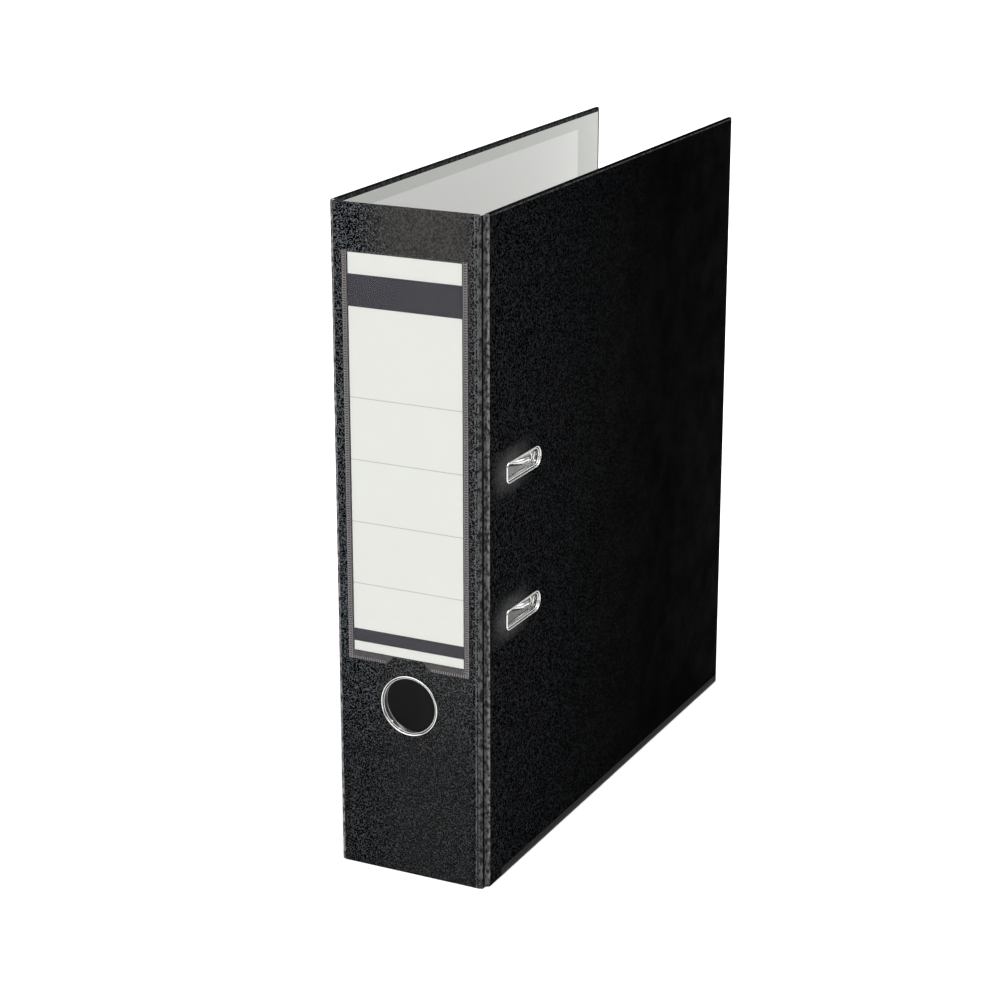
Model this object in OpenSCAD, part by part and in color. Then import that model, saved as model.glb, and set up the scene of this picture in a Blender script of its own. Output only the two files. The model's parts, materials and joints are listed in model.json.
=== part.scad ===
// Lever arch file for A4 sheets: two covers hinged on a spine, with a lever arch
// mechanism riveted inside the back cover.
// Frame: X across the spine towards the front cover, Y from the label side to the
// fore edge, Z up. The origin is under the middle of the standing file.

/* [File] */
// Height of the spine and the covers
file_h = 318; // [310:1:325]
// Depth from the finger ring's rim to the fore edge
file_d = 290; // [280:1:300]
// Width over the rivet heads and the slot rims
file_w = 80; // [80:1:84]
// Width of the flat outside of the spine
spine_w = 72.6; // [72:0.1:72.8]

/* [Boards] */
// Thickness of a finished panel, with its covering and lining
panel_t = 2.4; // [2.2:0.1:2.8]
// Thickness of the plastic covering on the outside
skin_t = 0.3; // [0.2:0.05:0.4]
// Thickness of the lining paper and of the turned-in covering
lining_t = 0.2; // [0.1:0.05:0.3]
// Width of the turned-in covering that the lining leaves showing
turn_in_w = 2.5; // [2:0.5:6]
// Gap in depth between the spine's outside and a cover's hinge edge
groove_d = 3.9; // [3.8:0.1:4.2]

/* [Slots in the front cover] */
// Distance between the middles of the two slots
slot_pitch = 70.4; // [69:0.1:72]
// Length of a slot rim
slot_l = 35.6; // [35.4:0.1:37]
// Height of a slot rim
slot_h = 10.3; // [10.2:0.1:11]
// Distance from the spine's outside to the middle of a slot
slot_mid = 38.5; // [38:0.1:39]

/* [Finger ring and label] */
// Radius of the finger hole
finger_r = 13.15; // [12:0.05:14]
// Height of the finger hole's middle
finger_z = 85.5; // [70:0.5:86]
// Width of the label pocket
pocket_w = 62.4; // [58:0.2:66]
// Height of the label pocket
pocket_h = 192.5; // [180:0.5:194]
// Width of the label card
label_w = 56.6; // [50:0.1:57]
// Height of the label card
label_h = 187.2; // [170:0.1:188]

/* [Mechanism] */
// Distance between the filing posts, the standard for two-hole punched sheets
post_pitch = 80; // [79.5:0.1:80.5]
// Radius of a filing post
post_r = 2.3; // [2:0.1:2.5]
// Height of a filing post's top above the back cover's lining
post_top = 47.6; // [44:0.2:48]
// Radius of the arch wire
wire_r = 1.9; // [1.6:0.1:2]
// Radius of the arches' crowns, to the middle of the wire
crown_r = 11; // [10:0.5:11]
// Angle of the closed lever above the base plate, in degrees
lever_rest = 25; // [24:1:27]
// Length of the lever from its pin to the rolled end
lever_l = 46; // [40:1:47]

/* [Hidden] */
$fn = 64;
hull_fn = 32;
// Overlap for cutters
eps = 0.02;

// What stands proud of a panel: rivet heads, slot rims and the finger ring's rim
proud = 0.8;
panel_out = file_w/2 - proud;
panel_in = panel_out - panel_t;
spine_face = -file_d/2 + proud;
fore_edge = file_d/2;
hinge_edge = spine_face + groove_d;
board_t = panel_t - skin_t - lining_t;

// Living hinges
hinge_x = (spine_w/2 + panel_out)/2;
hinge_y = spine_face + 1.7;
hinge_r = (panel_out - spine_w/2)/2;
hinge_web_t = 0.8;

// Metal edge protectors along the bottoms of the covers
protector_h = 4.5;
protector_start = spine_face + 16;
protector_end = fore_edge - 1;
// A cover's lining stops above the protector
cover_lining_z = max(turn_in_w, protector_h);

// Slots
slots_z = 161.7;
rim_w = 1.6;
collar_t = 0.4;
inner_flange_t = 0.4;
inner_flange_w = 1.4;
slot_corner_r = 2.6;

// Finger ring
ring_bead_r = proud;
ring_collar_t = 0.45;
washer_t = 0.5;
washer_w = 3;

// Label pocket: the weld lines hold the clear front away from the spine
pocket_z = 104.5;
film_t = 0.15;
pocket_gap = 0.45;
weld_w = 1.6;
pocket_weld_h = 1.2;
notch_top_w = 16;
notch_bottom_w = 23;
notch_h = 3.4;
label_t = 0.25;
label_z = 108.8;

// Mechanism, in a frame of its own: X away from the back cover's lining, Y from the
// spine's outside, Z from the middle between the arches
mech_z = slots_z - 1.5;
plate_t = 1.2;
plate_start = 26;
plate_end = 70;
plate_half = 60;
plate_corner_r = 5;
rivet_ys = [32.5, 65];
rivet_z = 54;
rivet_r = 2.2;
rivet_head_r = 4.4;
rivet_clinch_r = 3.6;
rivet_clinch_h = 1;

rod_x = 5;
rod_y = 39;
elbow_r = 4;
rod_clear = 0.07;
lug_z = 24;
lug_t = 5;
lug_r = 3.7;

post_y = rod_y + 2*crown_r;
post_collar_r = 3.4;
post_collar_h = 1.2;
// The posts are a little thicker at the foot, where the compressor's bushes rest
post_foot_r = 2.5;
post_foot_top = 10;
post_taper_h = 1.5;
post_taper_r = 1.9;

// The crown reaches as high as its swing under the front cover lets it
crown_reach = 56.7;
crown_x = rod_x + sqrt(pow(crown_reach, 2) - pow(crown_r, 2));
tip_gap = 0.2;
tip_straight = 3.4;
// How much a bend of the wire is thicker than the wire
knuckle = 0.06;

crank_t = 1.6;
crank_l = 7;
crank_half = 8;
crank_sleeve_t = 0.7;

pivot_x = 10;
pivot_y = 50;
ear_r = 4.5;
ear_t = 1.2;
ear_z = 11.5;
ear_foot = 11;
pin_r = 2;
pin_clear = 0.05;
pin_head_r = 3;
pin_head_t = 1;

flange_t = 1.5;
flange_z = 9.5;
blade_t = 1.5;
blade_low = 3;
blade_root = 11;
blade_tip = 8;
blade_split = 16;
lever_roll_r = 2.2;
// Roller, measured from the lever's pin along and across the base plate
roller_dx = -1;
roller_dy = -6.5;
roller_r = 3;
roller_half = 9;
roller_pin_r = 1.5;
roller_cheek_r = 3.4;

spring_t = 0.5;
spring_half = 6;
spring_foot = [57, 66];
spring_tip_x = 3.3;
spring_tip_y = 43;
spring_rivet_y = 62;
spring_rivet_r = 1.5;
spring_rivet_head_r = 2.6;
spring_rivet_head_h = 0.7;

bar_x = 3.2;
bar_t = 1.2;
bar_half = 48;
bar_w = 10;
bush_r = 5;
bush_h = 5;
bush_clear = 0.08;
bar_hole_r = 2.8;

// ---- shared shapes ----

// A box between two corners
module span(low, high) {
    translate(low)
        cube(high - low);
}

// A panel standing across X, between two X values, on either side of the file
module side_span(side, x_in, x_out, y_start, y_end, z_low, z_high) {
    if (side > 0) span([x_in, y_start, z_low], [x_out, y_end, z_high]);
    else span([-x_out, y_start, z_low], [-x_in, y_end, z_high]);
}

// Mechanism parts are drawn from the back cover's lining
module mechanism() {
    translate([-panel_in, spine_face, mech_z])
        children();
}

// A solid along X with a slot's outline: round at the fore-edge end, squarer at the other
module slot_block(x_start, x_end, grow) {
    half_l = slot_l/2 + grow;
    half_h = slot_h/2 + grow;
    corner = slot_corner_r + grow;
    long = x_end - x_start;
    translate([x_start, spine_face + slot_mid, 0]) {
        translate([0, half_l - half_h, 0]) rotate([0, 90, 0]) cylinder(h = long, r = half_h);
        span([0, corner - half_l, -half_h], [long, half_l - half_h, half_h]);
        span([0, -half_l, corner - half_h], [long, corner - half_l, half_h - corner]);
        for (end = [-1, 1])
            translate([0, corner - half_l, end*(half_h - corner)])
                rotate([0, 90, 0]) cylinder(h = long, r = corner);
    }
}

module slot_holes() {
    for (end = [-1, 1])
        translate([0, 0, slots_z + end*slot_pitch/2])
            slot_block(panel_in - 1, panel_out + 1, collar_t - rim_w);
}

module rivet_holes() {
    mechanism()
        for (y = rivet_ys, end = [-1, 1])
            translate([-panel_t - 1, y, end*rivet_z])
                rotate([0, 90, 0]) cylinder(h = panel_t + 2, r = rivet_r);
}

// ---- boards, coverings and linings ----

module cover_board(side) {
    side_span(side, panel_in + lining_t, panel_out - skin_t,
        hinge_edge + skin_t, fore_edge - skin_t, skin_t, file_h - skin_t);
}

module cover_lining(side) {
    side_span(side, panel_in, panel_in + lining_t,
        hinge_edge + skin_t, fore_edge - turn_in_w, cover_lining_z, file_h - turn_in_w);
}

// The covering wraps the board and turns in along three edges
module cover_skin(side) {
    difference() {
        side_span(side, panel_in, panel_out, hinge_edge, fore_edge, 0, file_h);
        cover_board(side);
        side_span(side, panel_in - 1, panel_in + lining_t,
            hinge_edge + skin_t, fore_edge - turn_in_w, cover_lining_z, file_h - turn_in_w);
        side_span(side, panel_in - 1, panel_out + 1, protector_start, protector_end, -1, protector_h);
    }
}

module edge_protector(side) {
    color("silver")
        difference() {
            side_span(side, panel_in, panel_out, protector_start, protector_end, 0, protector_h);
            side_span(side, panel_in + lining_t, panel_out - skin_t,
                protector_start - 1, protector_end + 1, skin_t, protector_h + 1);
        }
}

module finger_hole(radius) {
    translate([0, spine_face - 2, finger_z])
        rotate([-90, 0, 0]) cylinder(h = panel_t + 4, r = radius);
}

module spine_core() {
    span([-spine_w/2 + skin_t, spine_face + skin_t, skin_t],
        [spine_w/2 - skin_t, spine_face + skin_t + board_t, file_h - skin_t]);
}

module spine_board() {
    color("tan")
        difference() {
            spine_core();
            finger_hole(finger_r + ring_collar_t);
        }
}

module spine_covering() {
    color([0.06, 0.06, 0.06])
        difference() {
            span([-spine_w/2, spine_face, 0], [spine_w/2, spine_face + panel_t, file_h]);
            spine_core();
            span([-spine_w/2 + skin_t, spine_face + panel_t - lining_t, turn_in_w],
                [spine_w/2 - skin_t, spine_face + panel_t + 1, file_h - turn_in_w]);
            finger_hole(finger_r + ring_collar_t);
        }
}

module spine_lining() {
    color([0.78, 0.78, 0.76])
        difference() {
            span([-spine_w/2 + skin_t, spine_face + panel_t - lining_t, turn_in_w],
                [spine_w/2 - skin_t, spine_face + panel_t, file_h - turn_in_w]);
            finger_hole(finger_r + ring_collar_t);
        }
}

module hinge_strip(side) {
    color([0.09, 0.09, 0.09])
        translate([side*hinge_x, hinge_y, 1]) {
            cylinder(h = file_h - 2, r = hinge_r);
            span([min(0, -side*hinge_r), -hinge_web_t/2, 0],
                [max(0, -side*hinge_r), hinge_web_t/2, file_h - 2]);
        }
}

module front_hinge_strip() {
    hinge_strip(1);
}

module back_hinge_strip() {
    hinge_strip(-1);
}

module front_board() {
    color("tan")
        difference() {
            cover_board(1);
            slot_holes();
        }
}

module front_covering() {
    color([0.06, 0.06, 0.06])
        difference() {
            cover_skin(1);
            slot_holes();
        }
}

module front_lining() {
    color([0.78, 0.78, 0.76])
        difference() {
            cover_lining(1);
            slot_holes();
        }
}

module front_edge_protector() {
    edge_protector(1);
}

module back_board() {
    color("tan")
        difference() {
            cover_board(-1);
            rivet_holes();
        }
}

module back_covering() {
    color([0.06, 0.06, 0.06])
        difference() {
            cover_skin(-1);
            rivet_holes();
        }
}

module back_lining() {
    color([0.78, 0.78, 0.76])
        difference() {
            cover_lining(-1);
            rivet_holes();
        }
}

module back_edge_protector() {
    edge_protector(-1);
}

// ---- eyelets, ring and label ----

// A rim outside, a collar through the board and a flange turned over inside
module slot_eyelet(end) {
    color("silver")
        translate([0, 0, slots_z + end*slot_pitch/2])
            difference() {
                union() {
                    slot_block(panel_out, panel_out + proud, 0);
                    slot_block(panel_in - inner_flange_t, panel_out + eps, collar_t - rim_w);
                    slot_block(panel_in - inner_flange_t, panel_in, inner_flange_w - rim_w);
                }
                slot_block(panel_in - 2, panel_out + 2, -rim_w);
            }
}

module upper_slot_eyelet() {
    slot_eyelet(1);
}

module lower_slot_eyelet() {
    slot_eyelet(-1);
}

module finger_ring() {
    color("silver")
        translate([0, spine_face, finger_z])
            rotate([-90, 0, 0]) {
                difference() {
                    rotate_extrude() translate([finger_r + ring_bead_r, 0]) circle(r = ring_bead_r);
                    cylinder(h = 2*ring_bead_r, r = finger_r + 3*ring_bead_r);
                }
                difference() {
                    cylinder(h = panel_t + washer_t, r = finger_r + ring_collar_t);
                    translate([0, 0, -1]) cylinder(h = panel_t + 3, r = finger_r);
                }
            }
}

module finger_ring_washer() {
    color("silver")
        translate([0, spine_face + panel_t, finger_z])
            rotate([-90, 0, 0])
                difference() {
                    cylinder(h = washer_t, r = finger_r + ring_collar_t + washer_w);
                    translate([0, 0, -1]) cylinder(h = washer_t + 2, r = finger_r + ring_collar_t);
                }
}

// Clear film welded to the spine along its sides and its bottom, open at the top
module label_pocket() {
    film_y = spine_face - pocket_gap;
    bottom_weld_l = (pocket_w - notch_bottom_w)/2;
    color([0.8, 0.85, 0.9, 0.4])
        difference() {
            union() {
                span([-pocket_w/2, film_y - film_t, pocket_z], [pocket_w/2, film_y, pocket_z + pocket_h]);
                for (side = [-1, 1]) {
                    translate([side*(pocket_w - weld_w)/2, spine_face - pocket_gap/2, pocket_z + pocket_h/2])
                        cube([weld_w, pocket_gap, pocket_h], center = true);
                    translate([side*(pocket_w - bottom_weld_l)/2, spine_face - pocket_gap/2,
                            pocket_z + pocket_weld_h/2])
                        cube([bottom_weld_l, pocket_gap, pocket_weld_h], center = true);
                }
            }
            translate([0, film_y + eps, pocket_z])
                rotate([90, 0, 0])
                    linear_extrude(height = film_t + 4*eps)
                        polygon([[-notch_bottom_w/2, -1], [notch_bottom_w/2, -1],
                            [notch_top_w/2, notch_h], [-notch_top_w/2, notch_h]]);
        }
}

module label_card() {
    color([0.92, 0.93, 0.91])
        translate([-label_w/2, spine_face - (pocket_gap + label_t)/2, label_z])
            cube([label_w, label_t, label_h]);
}

// ---- mechanism on the back cover ----

module base_outline() {
    for (y = [plate_start + plate_corner_r, plate_end - plate_corner_r], end = [-1, 1])
        translate([0, y, end*(plate_half - plate_corner_r)])
            rotate([0, 90, 0]) cylinder(h = plate_t, r = plate_corner_r);
    span([0, plate_start + plate_corner_r, -plate_half],
        [plate_t, plate_end - plate_corner_r, plate_half]);
    span([0, plate_start, plate_corner_r - plate_half],
        [plate_t, plate_end, plate_half - plate_corner_r]);
}

// One ear of the lever's bearing, bent up from the plate
module lever_ear(end) {
    translate([0, 0, end*(ear_z + ear_t/2) - ear_t/2])
        hull() {
            translate([pivot_x, pivot_y, 0]) cylinder(h = ear_t, r = ear_r, $fn = hull_fn);
            translate([plate_t/2, pivot_y - ear_foot/2, 0]) cube([plate_t/2, ear_foot, ear_t]);
        }
}

// One bearing lug for the arch rod
module rod_lug(end) {
    translate([0, rod_y, end*lug_z - lug_t/2]) {
        translate([rod_x, 0, 0]) cylinder(h = lug_t, r = lug_r);
        span([plate_t/2, -lug_r, 0], [rod_x, lug_r, lug_t]);
    }
}

module base_plate() {
    color("silver")
        mechanism()
            difference() {
                union() {
                    base_outline();
                    for (end = [-1, 1]) {
                        lever_ear(end);
                        rod_lug(end);
                    }
                }
                for (y = rivet_ys, end = [-1, 1])
                    translate([-1, y, end*rivet_z]) rotate([0, 90, 0]) cylinder(h = plate_t + 2, r = rivet_r);
                for (end = [-1, 1])
                    translate([-1, post_y, end*post_pitch/2])
                        rotate([0, 90, 0]) cylinder(h = plate_t + 2, r = post_taper_r);
                translate([-1, spring_rivet_y, 0])
                    rotate([0, 90, 0]) cylinder(h = plate_t + 2, r = spring_rivet_r);
                translate([rod_x, rod_y, -plate_half])
                    cylinder(h = 2*plate_half, r = wire_r + rod_clear);
                translate([pivot_x, pivot_y, -plate_half])
                    cylinder(h = 2*plate_half, r = pin_r);
            }
}

// Tubular rivets through the back cover, domed outside and clinched on the plate
module base_plate_rivets() {
    color("silver")
        mechanism()
            for (y = rivet_ys, end = [-1, 1])
                translate([0, y, end*rivet_z])
                    rotate([0, 90, 0]) {
                        translate([0, 0, -panel_t]) cylinder(h = panel_t + plate_t + eps, r = rivet_r);
                        translate([0, 0, -panel_t - proud])
                            cylinder(h = proud, r1 = rivet_clinch_r, r2 = rivet_head_r);
                        translate([0, 0, plate_t])
                            cylinder(h = rivet_clinch_h, r1 = rivet_clinch_r, r2 = rivet_r);
                    }
}

module filing_post(end) {
    color("silver")
        mechanism()
            translate([0, post_y, end*post_pitch/2])
                rotate([0, 90, 0]) {
                    cylinder(h = plate_t + eps, r = post_taper_r);
                    translate([0, 0, plate_t]) cylinder(h = post_collar_h, r = post_collar_r);
                    translate([0, 0, plate_t]) cylinder(h = post_foot_top - plate_t, r = post_foot_r);
                    translate([0, 0, post_foot_top])
                        cylinder(h = post_top - post_foot_top - post_taper_h, r = post_r);
                    translate([0, 0, post_top - post_taper_h])
                        cylinder(h = post_taper_h, r1 = post_r, r2 = post_taper_r);
                }
}

module upper_post() {
    filing_post(1);
}

module lower_post() {
    filing_post(-1);
}

module lever_pin() {
    half = ear_z + ear_t;
    color("silver")
        mechanism()
            translate([pivot_x, pivot_y, 0]) {
                cylinder(h = 2*half, r = pin_r, center = true);
                for (end = [-1, 1])
                    translate([0, 0, end*(half + pin_head_t/2)])
                        cylinder(h = pin_head_t, r = pin_head_r, center = true);
            }
}

// A leaf that presses the crank up from below, and so swings the arches open
module opening_spring() {
    color("gray")
        mechanism()
            difference() {
                translate([0, 0, -spring_half])
                    linear_extrude(height = 2*spring_half)
                        polygon([[plate_t, spring_foot[1]], [plate_t, spring_foot[0]],
                            [spring_tip_x, spring_tip_y], [spring_tip_x + spring_t, spring_tip_y],
                            [plate_t + spring_t, spring_foot[0]], [plate_t + spring_t, spring_foot[1]]]);
                translate([0, spring_rivet_y, 0])
                    rotate([0, 90, 0]) cylinder(h = 4, r = spring_rivet_r);
            }
}

module spring_rivet() {
    color("silver")
        mechanism()
            translate([0, spring_rivet_y, 0])
                rotate([0, 90, 0]) {
                    cylinder(h = plate_t + spring_t + eps, r = spring_rivet_r);
                    translate([0, 0, plate_t + spring_t])
                        cylinder(h = spring_rivet_head_h, r1 = spring_rivet_head_r, r2 = spring_rivet_r);
                }
}

module arch_rod() {
    half = slot_pitch/2 - elbow_r;
    color("silver")
        mechanism()
            translate([rod_x, rod_y, 0])
                cylinder(h = 2*half, r = wire_r, center = true);
}

// One bent wire: from the rod up over the crown, and splayed outward down to the post's top
module arch(end) {
    leg_z = slot_pitch/2;
    tip_z = post_pitch/2;
    tip_x = post_top + tip_gap;
    splay_x = tip_x + tip_straight;
    splay_l = norm([crown_x - splay_x, tip_z - leg_z]);
    color("silver")
        mechanism()
            mirror([0, 0, end < 0 ? 1 : 0]) {
                translate([rod_x + elbow_r, rod_y, leg_z - elbow_r])
                    rotate([90, 0, 0])
                        rotate([0, 0, 90])
                            rotate_extrude(angle = 90) translate([elbow_r, 0]) circle(r = wire_r);
                translate([rod_x + elbow_r, rod_y, leg_z])
                    rotate([0, 90, 0]) cylinder(h = crown_x - rod_x - elbow_r, r = wire_r);
                translate([crown_x, rod_y + crown_r, leg_z])
                    rotate([0, 0, -90])
                        rotate_extrude(angle = 180) translate([crown_r, 0]) circle(r = wire_r);
                translate([crown_x, post_y, leg_z]) {
                    sphere(r = wire_r + knuckle);
                    rotate([0, atan2(splay_x - crown_x, tip_z - leg_z), 0])
                        cylinder(h = splay_l, r = wire_r);
                }
                translate([splay_x, post_y, tip_z]) sphere(r = wire_r + knuckle);
                translate([tip_x, post_y, tip_z])
                    rotate([0, 90, 0]) cylinder(h = tip_straight, r = wire_r);
            }
}

module upper_arch() {
    arch(1);
}

module lower_arch() {
    arch(-1);
}

// The tab on the rod that the lever's roller presses down to close the arches
module arch_crank() {
    color("silver")
        mechanism()
            difference() {
                translate([rod_x, rod_y, 0]) {
                    cylinder(h = 2*crank_half, r = wire_r + crank_sleeve_t, center = true);
                    span([-crank_t/2, 0, -crank_half], [crank_t/2, crank_l, crank_half]);
                }
                translate([rod_x, rod_y, 0]) cylinder(h = 4*crank_half, r = wire_r, center = true);
            }
}

// ---- lever, roller and compressor ----

// Drawn along the closed lever: X square to the blade, -Y towards the rolled end
module lever_frame() {
    mechanism()
        translate([pivot_x, pivot_y, 0])
            rotate([0, 0, lever_rest])
                children();
}

// One side flange, from the pin and the roller up to the blade
module lever_flange(end) {
    roller_x = roller_dx*cos(lever_rest) + roller_dy*sin(lever_rest);
    roller_y = roller_dy*cos(lever_rest) - roller_dx*sin(lever_rest);
    translate([0, 0, end*(flange_z + flange_t/2) - flange_t/2])
        hull() {
            cylinder(h = flange_t, r = ear_r, $fn = hull_fn);
            translate([roller_x, roller_y, 0]) cylinder(h = flange_t, r = roller_cheek_r, $fn = hull_fn);
            translate([blade_low, -blade_split, 0]) cube([blade_t, blade_split, flange_t]);
        }
}

module lever() {
    tip_y = lever_roll_r - lever_l;
    color("silver")
        difference() {
            lever_frame() {
                for (end = [-1, 1]) lever_flange(end);
                translate([blade_low, 0, 0])
                    rotate([90, 0, 90])
                        linear_extrude(height = blade_t)
                            polygon([[0, -blade_root], [0, blade_root], [-blade_split, blade_root],
                                [tip_y, blade_tip], [tip_y, -blade_tip], [-blade_split, -blade_root]]);
                translate([blade_low + blade_t - lever_roll_r, tip_y, 0])
                    cylinder(h = 2*blade_tip, r = lever_roll_r, center = true);
            }
            mechanism() {
                translate([pivot_x, pivot_y, 0])
                    cylinder(h = 4*blade_root, r = pin_r + pin_clear, center = true);
                translate([pivot_x + roller_dx, pivot_y + roller_dy, 0])
                    cylinder(h = 4*blade_root, r = roller_pin_r, center = true);
            }
        }
}

module roller_place() {
    mechanism()
        translate([pivot_x + roller_dx, pivot_y + roller_dy, 0])
            children();
}

module roller_pin() {
    color("silver")
        roller_place()
            cylinder(h = 2*(flange_z + flange_t), r = roller_pin_r, center = true);
}

module roller() {
    color("dimgray")
        roller_place()
            difference() {
                cylinder(h = 2*roller_half, r = roller_r, center = true);
                cylinder(h = 4*roller_half, r = roller_pin_r + pin_clear, center = true);
            }
}

// The bar that holds the sheets down, guided on the posts by two bushes
module compressor_bar() {
    color("silver")
        mechanism()
            difference() {
                union() {
                    span([bar_x, post_y - bar_w/2, bar_w/2 - bar_half],
                        [bar_x + bar_t, post_y + bar_w/2, bar_half - bar_w/2]);
                    for (end = [-1, 1])
                        translate([bar_x, post_y, end*(bar_half - bar_w/2)])
                            rotate([0, 90, 0]) cylinder(h = bar_t, r = bar_w/2);
                }
                for (end = [-1, 1])
                    translate([bar_x - 1, post_y, end*post_pitch/2])
                        rotate([0, 90, 0]) cylinder(h = bar_t + 2, r = bar_hole_r);
            }
}

module compressor_bushes() {
    color([0.1, 0.1, 0.1])
        mechanism()
            for (end = [-1, 1])
                translate([bar_x, post_y, end*post_pitch/2])
                    rotate([0, 90, 0])
                        difference() {
                            union() {
                                cylinder(h = bar_t + eps, r = bar_hole_r);
                                translate([0, 0, bar_t]) cylinder(h = bush_h, r = bush_r);
                            }
                            translate([0, 0, -1])
                                cylinder(h = bar_t + bush_h + 2, r = post_foot_r + bush_clear);
                        }
}

spine_board();
spine_covering();
spine_lining();
front_hinge_strip();
back_hinge_strip();
finger_ring();
finger_ring_washer();
label_pocket();
label_card();
front_board();
front_covering();
front_lining();
upper_slot_eyelet();
lower_slot_eyelet();
front_edge_protector();
back_board();
back_covering();
back_lining();
back_edge_protector();
base_plate();
base_plate_rivets();
upper_post();
lower_post();
lever_pin();
opening_spring();
spring_rivet();
arch_rod();
upper_arch();
lower_arch();
arch_crank();
lever();
roller_pin();
roller();
compressor_bar();
compressor_bushes();
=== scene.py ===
"""Lever arch file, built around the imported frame: foil, lining, eyelets, label and bright mechanism parts."""
import json
import math

import bmesh
import bpy
from mathutils import Matrix, Vector


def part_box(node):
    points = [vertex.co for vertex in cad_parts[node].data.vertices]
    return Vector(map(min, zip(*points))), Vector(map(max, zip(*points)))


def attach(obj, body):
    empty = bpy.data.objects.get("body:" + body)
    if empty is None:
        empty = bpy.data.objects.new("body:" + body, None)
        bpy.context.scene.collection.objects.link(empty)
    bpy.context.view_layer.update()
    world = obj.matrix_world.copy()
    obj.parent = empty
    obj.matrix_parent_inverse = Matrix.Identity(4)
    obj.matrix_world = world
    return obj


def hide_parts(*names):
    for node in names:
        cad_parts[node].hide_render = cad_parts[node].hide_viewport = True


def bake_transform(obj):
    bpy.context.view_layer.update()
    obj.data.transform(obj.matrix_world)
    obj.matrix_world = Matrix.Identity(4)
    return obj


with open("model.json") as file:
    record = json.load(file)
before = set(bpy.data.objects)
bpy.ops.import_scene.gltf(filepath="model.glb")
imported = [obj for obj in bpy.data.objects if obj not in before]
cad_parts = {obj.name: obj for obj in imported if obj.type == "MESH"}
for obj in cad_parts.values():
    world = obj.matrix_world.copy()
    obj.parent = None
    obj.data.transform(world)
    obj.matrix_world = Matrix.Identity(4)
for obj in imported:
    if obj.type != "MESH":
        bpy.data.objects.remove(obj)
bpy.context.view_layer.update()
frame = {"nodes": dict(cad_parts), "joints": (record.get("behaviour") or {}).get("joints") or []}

MM = 0.001


# ---- where the frame says things are, in millimetres ----

def node_box(name):
    low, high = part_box(name)
    return low / MM, high / MM


SPINE_LOW, SPINE_HIGH = node_box("spine_covering")
FRONT_LOW, FRONT_HIGH = node_box("front_covering")
PROTECTOR_LOW, PROTECTOR_HIGH = node_box("front_edge_protector")
RING_LOW, RING_HIGH = node_box("finger_ring")
WASHER_HIGH = node_box("finger_ring_washer")[1]
POCKET_LOW, POCKET_HIGH = node_box("label_pocket")
LABEL_LOW, LABEL_HIGH = node_box("label_card")
SLOT_LOW, SLOT_HIGH = node_box("upper_slot_eyelet")
LOWER_SLOT_LOW, LOWER_SLOT_HIGH = node_box("lower_slot_eyelet")

PANEL_T = FRONT_HIGH.x - FRONT_LOW.x
PANEL_IN = FRONT_LOW.x
PANEL_OUT = FRONT_HIGH.x
SPINE_FACE = SPINE_LOW.y
SPINE_INSIDE = SPINE_HIGH.y
SPINE_EDGE = SPINE_HIGH.x
PANEL_MID = (PANEL_IN + PANEL_OUT) / 2
HINGE_EDGE = FRONT_LOW.y
FORE_EDGE = FRONT_HIGH.y
TOP = SPINE_HIGH.z
MECH_Z = {joint["name"]: joint for joint in frame["joints"]}["lever_hinge"]["pos_m"][2] / MM


# ---- mesh helpers ----

def piece_from(name, verts, faces, sharp_deg=40):
    """A mesh object from points in millimetres, shaded smooth except at sharp edges."""
    mesh = bpy.data.meshes.new(name)
    mesh.from_pydata([Vector(v) * MM for v in verts], [], faces)
    mesh.validate()
    finish_mesh(mesh, sharp_deg)
    obj = bpy.data.objects.new(name, mesh)
    bpy.context.scene.collection.objects.link(obj)
    return obj


def finish_mesh(mesh, sharp_deg=40):
    """Welds doubled points, turns the faces outward and sets the shading."""
    bm = bmesh.new()
    bm.from_mesh(mesh)
    bmesh.ops.remove_doubles(bm, verts=bm.verts, dist=1e-7)
    bmesh.ops.recalc_face_normals(bm, faces=bm.faces)
    bm.to_mesh(mesh)
    bm.free()
    mesh.shade_smooth()
    mesh.set_sharp_from_angle(angle=math.radians(sharp_deg))
    mesh.update()


def rounded_box(name, low, high, radius, segments=3):
    """A box with every edge rounded."""
    bm = bmesh.new()
    bmesh.ops.create_cube(bm, size=1)
    low, high = Vector(low), Vector(high)
    for vert in bm.verts:
        vert.co = Vector(l + (c + 0.5) * (h - l) for l, c, h in zip(low, vert.co, high))
    bmesh.ops.bevel(bm, geom=bm.edges[:], offset=radius, segments=segments, profile=0.5, affect="EDGES")
    mesh = bpy.data.meshes.new(name)
    bm.to_mesh(mesh)
    bm.free()
    mesh.transform(Matrix.Scale(MM, 4))
    finish_mesh(mesh)
    obj = bpy.data.objects.new(name, mesh)
    bpy.context.scene.collection.objects.link(obj)
    return obj


def cut(piece, cutters):
    """Takes the cutters out of a piece for good, and removes them."""
    for cutter in cutters:
        modifier = piece.modifiers.new("cut", "BOOLEAN")
        modifier.operation = "DIFFERENCE"
        modifier.solver = "EXACT"
        modifier.object = cutter
    bpy.context.view_layer.update()
    evaluated = piece.evaluated_get(bpy.context.evaluated_depsgraph_get())
    mesh = bpy.data.meshes.new_from_object(evaluated)
    piece.modifiers.clear()
    piece.data = mesh
    finish_mesh(mesh)
    for cutter in cutters:
        bpy.data.objects.remove(cutter)
    return piece


def swept_loop(name, outline, profile, place, sharp_deg=40):
    """A closed profile of (offset, height) carried round a closed outline of (u, v, normal u, normal v)."""
    count = len(profile)
    verts = []
    for u, v, nu, nv in outline:
        for offset, height in profile:
            verts.append(place(u + nu * offset, v + nv * offset, height))
    faces = []
    for i in range(len(outline)):
        for k in range(count):
            j, m = (i + 1) % len(outline), (k + 1) % count
            faces.append((i * count + k, j * count + k, j * count + m, i * count + m))
    return piece_from(name, verts, faces, sharp_deg)


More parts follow.
